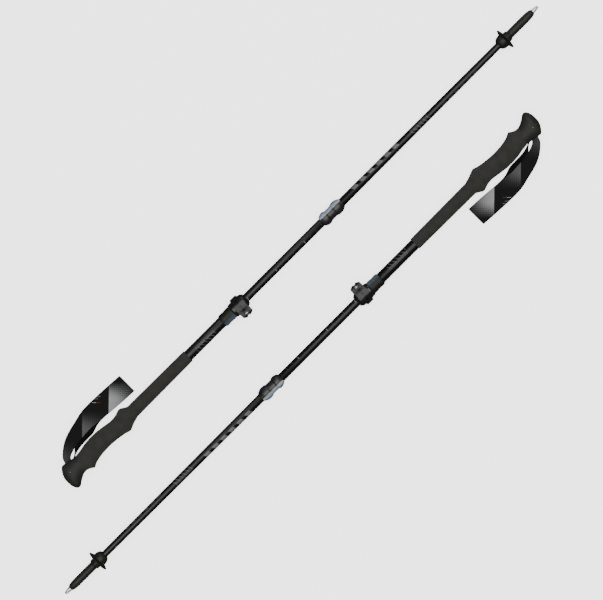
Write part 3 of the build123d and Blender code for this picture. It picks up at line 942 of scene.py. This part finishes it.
# Side view of the lever: a round cam, flats that wrap over the housing, and the curve under them
LEVER_FLATS = [
    (14.0, 13.4), (8.5, 15.3), (2.0, 16.3), (-3.4, 15.9), (-8.6, 13.0), (-12.6, 9.2), (-15.3, 3.4),
    (-15.7, -1.6),
]
LEVER_CAM = arc_points(PIVOT_Y, PIVOT_Z, 6.4, range(-100, 71, 10))
LEVER_OUTLINE = LEVER_CAM + LEVER_FLATS + arc_points(0, 0, 13.0, range(187, 40, -8))
# The groove along the lever's back, floor and open side
LEVER_GROOVE = [
    (11.6, 30), (11.6, 12.6), (8.5, 13.9), (2.0, 14.9), (-3.0, 14.6), (-7.6, 12.0), (-10.6, 8.8),
    (-24, 16), (-24, 30),
]


def across_pole(outline, half):
    """Solid on a (y, z) outline, to each side of the clamp's middle."""
    return between(*([(CLAMP_MID + reach, y, z) for y, z in outline] for reach in (-half, half)))


def add_lever(side):
    """The lever, slotted for the screw, grooved along its back, with two holes and a rounded nose."""
    slot = [(-SLOT_HALF, 11.5), (SLOT_HALF, 11.5), (SLOT_HALF, 30), (-SLOT_HALF, 30)]
    cutters = [prism([(CLAMP_MID + x, y) for x, y in slot], -2, 30), across_pole(LEVER_GROOVE, GROOVE_HALF)]
    cutters += [round_bar((CLAMP_MID, y, z), "Z", LEVER_HOLE, 12) for y, z in ((2.2, 15), (-6.9, 12))]
    for end in (-1, 1):
        corner = [(6.4, -22.0), (6.4, -13.6), (8.0, -11.8), (8.6, -9.0), (14, -9.0), (14, -22.0)]
        nose = arc_points(0, 14.4, 9.9, range(0, 91, 10)) + [(0, 27), (14, 27), (14, 14.4)]
        cutters += [prism([(CLAMP_MID + end * x, y) for x, y in cut], -6, 24) for cut in (corner, nose)]
    cutters.append(round_bar((CLAMP_MID, PIVOT_Y, PIVOT_Z), "X", BARREL_ROOM, 30))
    lever = cut_all(mesh_of(*across_pole(LEVER_OUTLINE, LEVER_HALF)), cutters)
    piece = finish_piece(side, "lock_lever_arm", lever, "lever", LEVER, ["lock_lever"], 30)
    bevel(piece, 0.35)


def add_lock(side):
    """Housing, sleeve, the clamp's two ears and its screw."""
    add_housing(side)
    add_sleeve(side)
    for name, low, high in (("lock_ear_top", SLIT[1], -0.2), ("lock_ear_bottom", -9.8, SLIT[0])):
        ear = [(LEVER_LOW, 8), (LEVER_HIGH, 8)]
        ear += arc_points(LEVER_HIGH - 4, 18, 4, range(0, 91, 15))
        ear += arc_points(LEVER_LOW + 4, 18, 4, range(90, 181, 15))
        screw_room = round_bar((CLAMP_MID, PIVOT_Y, 0), "Z", SCREW_ROOM, 40)
        mesh = cut_all(mesh_of(*prism(ear, low, high)), [screw_room])
        bevel(finish_piece(side, name, mesh, "upper", LOCK, (), 30), 0.4)
    screw = [
        (-12.8, 0.01), (-12.8, 3.0), (-12.2, 3.4), (-9.9, 3.4), (-9.9, 1.5), (10.4, 1.5), (10.4, 1.9),
        (11.6, 1.7), (12.4, 0.01),
    ]
    hex_socket = round_bar((CLAMP_MID, PIVOT_Y, -13), "Z", 1.6, 3.6, 6)
    turned = upright(lathe(rounded(screw, 0.25, 2), 40), CLAMP_MID, PIVOT_Y)
    mesh = cut_all(mesh_of(*turned), [hex_socket])
    finish_piece(side, "clamp_screw_steel", mesh, "screw", STEEL, ["clamp_screw"], 30)


def add_housing(side):
    """The round housing under the lever, with room for its cam and the clamp's slit."""
    low, high = LOCK_LOW, LOCK_HIGH
    outline = [
        (low, MID_R + 0.3), (low, MID_R + 2.0), (low + 4.0, HOUSING_R - 0.6), (low + 5.5, HOUSING_R),
        (SHOULDER, HOUSING_R), (SHOULDER + 2.5, SLEEVE_R + 0.3), (SHOULDER + 2.6, UPPER_R + 0.1),
    ]
    cam_room = round_bar((CLAMP_MID, PIVOT_Y, PIVOT_Z), "X", 6.8, LEVER_HIGH - LEVER_LOW + 1, 48)
    slit = prism([(low - 1, 0), (high + 1, 0), (high + 1, 30), (low - 1, 30)], *SLIT)
    housing = mesh_of(*lathe(rounded(outline, 0.6, 3), ROUND_FINE, closed=True))
    mesh = cut_all(housing, [cam_room, slit])
    bevel(finish_piece(side, "lock_clamp", mesh, "upper", LOCK, ["lock_body"], 30), 0.25)


def add_sleeve(side):
    """The sleeve over the upper tube, pinched flat on two sides."""
    high = LOCK_HIGH
    outline = [
        (SHOULDER + 2.0, UPPER_R + 0.1), (SHOULDER + 2.0, SLEEVE_R), (high - 4.0, SLEEVE_R),
        (high, UPPER_R + 1.2), (high, UPPER_R + 0.05),
    ]

    def pinched(x, r, angle):
        near = max(0.0, 1 - abs(x - (high - 10.0)) / 5.0)
        flat = max(0.0, cos(angle * 2)) ** 6
        return r - 0.5 * near * flat if r > UPPER_R + 1 else r

    sleeve = lathe(divided(rounded(outline, 1.2, 4), 1.2), ROUND_FINE, closed=True, shape=pinched)
    add_piece(side, "lock_sleeve", *sleeve, "upper", SLEEVE, (), "lock_plastic", 40)


# ---------------- fold joint

CORD_R = 1.15


def add_joint(side):
    """Two bulbs and the ring between them, and a straight length of cord below the seam."""
    end = LOWER_COLLAR_END
    lower = [
        (end, MID_R + 0.1), (end, 7.5), (end + 0.4, 8.0), (end + 1.6, 8.7), (end + 3.2, 9.4),
        (end + 4.6, 10.3), (end + 6.2, 11.0), (end + 8.4, 11.4), (end + 11.5, 11.5),
        (SEAM - 5.0, 11.4), (SEAM - 3.2, 11.0),
        (SEAM - 1.8, 10.3), (SEAM - 0.7, 9.85), (SEAM, 9.7), (SEAM, 6.4), (SEAM - 6.4, 3.8),
        (SEAM - 6.4, 1.5), (end + 7, 1.5), (end + 7, MID_R + 0.1),
    ]
    ring = [
        (SEAM, 6.1), (SEAM, 9.65), (SEAM + 0.3, 9.75), (SEAM + 4.6, 9.6), (COLLAR_LOW - 0.4, 9.75),
        (COLLAR_LOW, 9.65), (COLLAR_LOW, 6.1),
    ]
    upper = [
        (COLLAR_LOW, 7.1), (COLLAR_LOW, 9.7), (COLLAR_LOW + 0.5, 9.9), (COLLAR_LOW + 1.4, 10.6),
        (COLLAR_LOW + 2.8, 11.2), (COLLAR_LOW + 4.6, 11.45), (COLLAR_LOW + 7.0, 11.35),
        (COLLAR_LOW + 9.4, 10.8), (COLLAR_LOW + 11.4, 9.8), (COLLAR_TOP - 1.2, 8.7),
        (COLLAR_TOP - 0.3, 8.0), (COLLAR_TOP, 7.6), (COLLAR_TOP, 7.1),
    ]
    for name, body, outline, node in (
        ("joint_lower_bulb", "lower", lower, "joint_lower_collar"),
        ("joint_waist_ring", "mid", ring, "joint_ring"),
        ("joint_upper_bulb", "mid", upper, "joint_upper_collar"),
    ):
        turned = lathe(rounded(outline + [outline[0]], 0.3, 2)[:-1], ROUND_FINE, closed=True)
        add_piece(side, name, *turned, body, SMOKY, [node], "joint_plastic", 40)
    leave, enter = SEAM - 6.2, SEAM - 7.0  # the cord's rings lie close together between these stations
    stops = [SEAM - 4.0 - 0.36 * i for i in range(6)] + [leave - 0.8 * i / 70 for i in range(71)]
    stops += [enter - i for i in range(1, 8)]
    mesh = mesh_of(*lathe([(x, CORD_R) for x in stops], 20))
    cord = place_piece(side, "fold_cord", mesh, CORD)
    start, end = (tuple(PLACE[side] @ Vector((x, 0, 0))) for x in (leave, enter))
    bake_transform(cord)


# ---------------- tip and basket

def add_tip(side):
    """The ridged holder, the steel point and its carbide end."""
    holder = [
        (11.5, 3.4), (11.5, 4.1), (12.2, 4.8), (15, 5.7), (19, 6.45), (24, 6.85), (40, 6.9), (60.8, 6.9),
        (61.4, 6.9), (61.8, 6.5), (85, 6.5), (85, 5.85), (30, 5.5), (30, 3.4),
    ]

    def ridges(x, r, angle):
        if r < 5.9 or x < 17 or x > 60:
            return r
        fade = min(1.0, (x - 17) / 4, (60 - x) / 3)
        ridge = max(0.0, cos(angle * 6)) ** 8
        ring = 0.5 + 0.5 * cos((x - 20) * 2 * pi / 4.6)
        return r - 0.42 * fade * ridge * (0.55 + 0.45 * ring)

    shell = lathe(divided(holder + holder[:1], 0.5)[:-1], 120, closed=True, shape=ridges)
    add_piece(side, "tip_holder_shell", *shell, "lower", TIP, ["tip_holder"], "tip_plastic", 45)
    point = [(1.6, 1.9), (1.6, 2.45), (3.2, 2.7), (6.5, 3.3), (10.0, 3.5), (30.4, 3.5), (30.4, 1.9)]
    turned = lathe(rounded(point, 0.4, 3), 48, closed=True)
    add_piece(side, "tip_point_steel", *turned, "lower", STEEL, ["tip_point"], "bright_steel", 40)
    carbide = rounded([(9.0, 0.01), (9.0, 1.85), (1.2, 2.05), (0.0, 2.0), (0.0, 1.3), (0.9, 0.01)], 0.25, 2)
    add_piece(side, "carbide_end", *lathe(carbide, 48), "lower", CARBIDE, ["carbide_tip"], "carbide", 40)


def add_basket(side):
    """The notched nut, and the small basket with a webbed hub above it."""
    nut = [(62.7, 6.7), (62.7, 7.6), (63.6, 8.3), (66.0, 8.8), (69.6, 9.0), (70.6, 8.5), (70.6, 6.7)]

    def notches(x, r, angle):
        return r - 0.9 * max(0.0, cos(angle * 10)) ** 10 if r > 7.6 else r

    turned = lathe(divided(rounded(nut, 0.4, 3), 0.5), ROUND_RIBBED, closed=True, shape=notches)
    add_piece(side, "basket_nut_ring", *turned, "basket", TIP, ["basket_nut"], "tip_plastic", 45)
    disc = [
        (71.0, 6.7), (71.0, 17.7), (71.3, 18.3), (71.8, 18.45), (72.5, 18.1), (73.2, 16.0), (74.6, 12.9),
        (75.3, 11.7), (77.0, 11.45), (79.5, 11.3), (81.8, 10.7), (83.8, 9.7), (85.4, 8.5), (86.5, 7.3),
        (87.0, 6.2), (87.0, 6.0), (85.2, 6.0), (85.2, 6.7),
    ]

    def webs(x, r, angle):
        return r - 0.22 * max(0.0, cos(angle * 4)) ** 40 if 76.5 < x < 86 and r > 7 else r

    turned = lathe(divided(rounded(disc, 0.4, 3), 0.8, radial=1), ROUND_RIBBED, closed=True, shape=webs)
    add_piece(side, "basket_disc", *turned, "basket", TIP, ["basket"], "tip_plastic", 45)


# ---------------- carried-over parts

CARRIED = {
    "grip_core": INNER, "lock_liner": INNER, "lever_barrel": STEEL, "mid_guide": INNER, "joint_plug": INNER,
    "mid_cord": CORD, "mid_cord_anchor": INNER, "lower_cord": CORD, "lower_cord_anchor": INNER,
}


def dress_carried(side):
    """Materials for the inner parts, whose own shapes stay."""
    for node, material in CARRIED.items():
        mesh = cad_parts[side + "_" + node].data
        keep_own_place(mesh, PLACE[side].inverted())
        mesh.materials.clear()
        mesh.materials.append(material)


for pole_side in ("right", "left"):
    for add_parts in (
        add_grip, add_strap, add_tubes, add_lock, add_lever, add_joint, add_tip, add_basket, dress_carried,
    ):
        add_parts(pole_side)


# ---------------- floor, light and camera

FLOOR_HALF, FLOOR_GAP = 30.0, 0.0002  # in metres


def add_floor():
    """A large pale floor, bright to the eye and dim in the gloss of the tubes."""
    half = FLOOR_HALF
    mesh = bpy.data.meshes.new("floor")
    corners = [(-half, -half, 0), (half, -half, 0), (half, half, 0), (-half, half, 0)]
    mesh.from_pydata(corners, [], [(0, 1, 2, 3)])
    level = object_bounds()[0][2] - FLOOR_GAP
    floor_piece = in_scene("floor", mesh)
    floor_piece.location.z = level
    material = bpy.data.materials.new("floor_paper")
    material.use_nodes = True
    s = Shade(material.node_tree)
    shader = material.node_tree.nodes["Principled BSDF"]
    path = material.node_tree.nodes.new("ShaderNodeLightPath")
    seen = path.outputs["Is Camera Ray"]
    s.put(shader.inputs["Base Color"], s.mix(seen, (0.12, 0.12, 0.12, 1), (0.8, 0.8, 0.8, 1)))
    shader.inputs["Emission Color"].default_value = (1, 1, 1, 1)
    s.put(shader.inputs["Emission Strength"], s.times(seen, 2.6))
    shader.inputs["Roughness"].default_value = 1.0
    shader.inputs["Specular IOR Level"].default_value = 0.0
    mesh.materials.append(material)


def add_light(name, place, size, power, colour=(1, 1, 1)):
    """A soft rectangular light that faces the middle of the poles."""
    light = bpy.data.lights.new(name, "AREA")
    light.shape = "RECTANGLE"
    light.size, light.size_y = size
    light.energy = power
    light.color = colour
    lamp = in_scene(name, light)
    lamp.location = place
    lamp.rotation_euler = (-Vector(place)).to_track_quat("-Z", "Y").to_euler()


VIEW_WIDTH = 603 * 1.58  # mm of floor across the view
VIEW_TURN = -45.0  # the poles lie across the view from corner to corner


def add_camera():
    """A long lens straight above the poles."""
    camera = bpy.data.cameras.new("camera")
    camera.lens = 120.0
    camera.sensor_width = 36.0
    camera.clip_end = 100.0
    stand = in_scene("camera", camera)
    stand.location = (0, 0, VIEW_WIDTH * MM / 2 / tan(camera.angle_x / 2))
    stand.rotation_euler = (0, 0, radians(VIEW_TURN))
    bpy.context.scene.camera = stand


add_floor()
world = bpy.data.worlds.new("studio")
world.use_nodes = True
sky = world.node_tree.nodes["Background"]
sky.inputs["Color"].default_value = (1, 1, 1, 1)
sky.inputs["Strength"].default_value = 0.13
bpy.context.scene.world = world
add_light("overhead", (0.0, 0.0, 4.2), (6.0, 4.6), 205.0)
add_light("window", (2.0, 2.6, 1.7), (1.6, 1.6), 16.0, (0.9, 0.95, 1.0))
add_camera()
